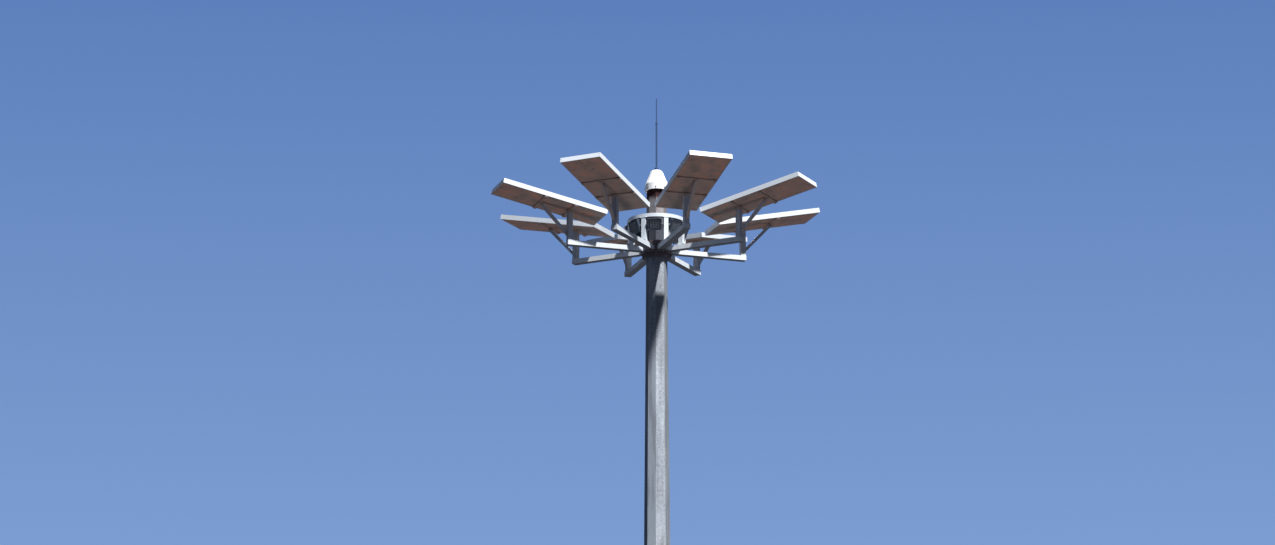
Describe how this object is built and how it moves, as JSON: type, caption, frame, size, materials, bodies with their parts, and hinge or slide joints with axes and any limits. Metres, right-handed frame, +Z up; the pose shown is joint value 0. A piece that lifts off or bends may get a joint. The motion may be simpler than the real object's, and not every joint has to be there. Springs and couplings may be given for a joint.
{
  "type": "high mast floodlight tower",
  "caption": "Tapered octagonal steel mast with a crown of eight radial arms, floodlights hung between their inner posts, tilted framed panels above the arms, a white cap and a lightning rod.",
  "frame": {"origin": "centre of the base flange's bottom face", "axes": "+Z up along the mast, one arm along +X, the inspection door on the -Y side"},
  "size_m": [3.6384, 3.6384, 16.085],
  "materials": {
    "galvanised_steel": "satin",
    "frame_aluminium": "satin",
    "panel_sheet": "satin",
    "panel_back": "matte",
    "lamp_body": "satin",
    "white_cap": "satin"
  },
  "bodies": {
    "root": {"access_door": "galvanised_steel", "arm_1": "galvanised_steel", "arm_2": "galvanised_steel", "arm_3": "galvanised_steel", "arm_4": "galvanised_steel", "arm_5": "galvanised_steel", "arm_6": "galvanised_steel", "arm_7": "galvanised_steel", "arm_8": "galvanised_steel", "base_flange": "galvanised_steel", "base_gussets": "galvanised_steel", "bracket_1": "galvanised_steel", "bracket_2": "galvanised_steel", "bracket_3": "galvanised_steel", "bracket_4": "galvanised_steel", "bracket_5": "galvanised_steel", "bracket_6": "galvanised_steel", "bracket_7": "galvanised_steel", "bracket_8": "galvanised_steel", "cap": "white_cap", "door_frame": "galvanised_steel", "floodlight_1": "lamp_body", "floodlight_2": "lamp_body", "floodlight_3": "lamp_body", "floodlight_4": "lamp_body", "floodlight_5": "lamp_body", "floodlight_6": "lamp_body", "floodlight_7": "lamp_body", "floodlight_8": "lamp_body", "head_hub": "galvanised_steel", "lightning_rod": "galvanised_steel", "panel_backs": "panel_back", "panel_frame_1": "frame_aluminium", "panel_frame_2": "frame_aluminium", "panel_frame_3": "frame_aluminium", "panel_frame_4": "frame_aluminium", "panel_frame_5": "frame_aluminium", "panel_frame_6": "frame_aluminium", "panel_frame_7": "frame_aluminium", "panel_frame_8": "frame_aluminium", "panel_sheets": "panel_sheet", "shaft_lower": "galvanised_steel", "shaft_upper": "galvanised_steel", "upper_ring": "galvanised_steel"}
  },
  "joints": []
}
